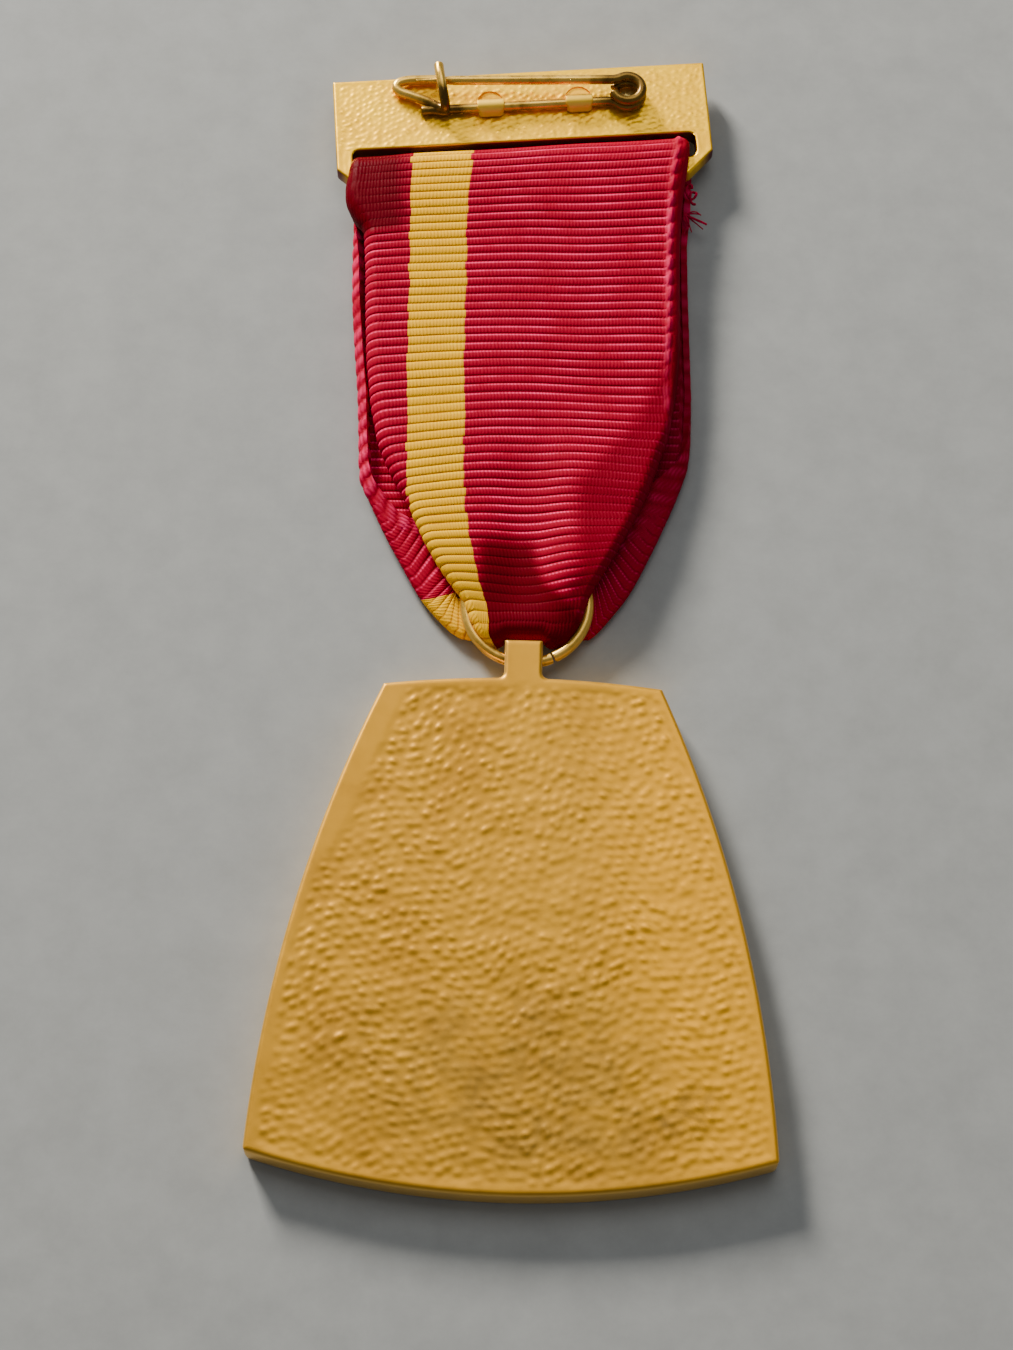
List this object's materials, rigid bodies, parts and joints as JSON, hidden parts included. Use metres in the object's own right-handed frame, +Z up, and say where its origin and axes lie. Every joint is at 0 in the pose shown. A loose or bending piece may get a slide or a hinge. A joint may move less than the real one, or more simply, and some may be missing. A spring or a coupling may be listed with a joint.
{
  "type": "commemorative medal",
  "caption": "Trapezoid medal lying face down: hammered back, split ring, striped ribbed ribbon looped through a slotted bar with a safety pin.",
  "frame": {"origin": "on the table plane, under the middle of the whole medal's box", "axes": "+Y from the plate's foot up to the pin bar, +Z up from the table to the back of the medal, +X to the right as the back is seen"},
  "size_m": [0.0408, 0.1032, 0.0057],
  "materials": {
    "plate": "satin gilt over a hammered surface",
    "ring": "polished gilt wire",
    "ribbon": "silky ribbed weave, crimson with one yellow stripe",
    "bar": "satin gilt over a fine hammered surface",
    "pin": "polished wire, darkened"
  },
  "bodies": {
    "medal": {"medal_plate": "plate", "ring": "ring", "ribbon": "ribbon", "pin_bar": "bar", "pin_wire": "pin"},
    "pin": {"pin_arm": "pin"}
  },
  "joints": [
    {"name": "pin_swing", "type": "hinge", "parent": "medal", "child": "pin", "pos_m": [0.00788, 0.04758, 0.00413], "axis": [0, 0, -1], "range_deg": [0, 40]}
  ]
}
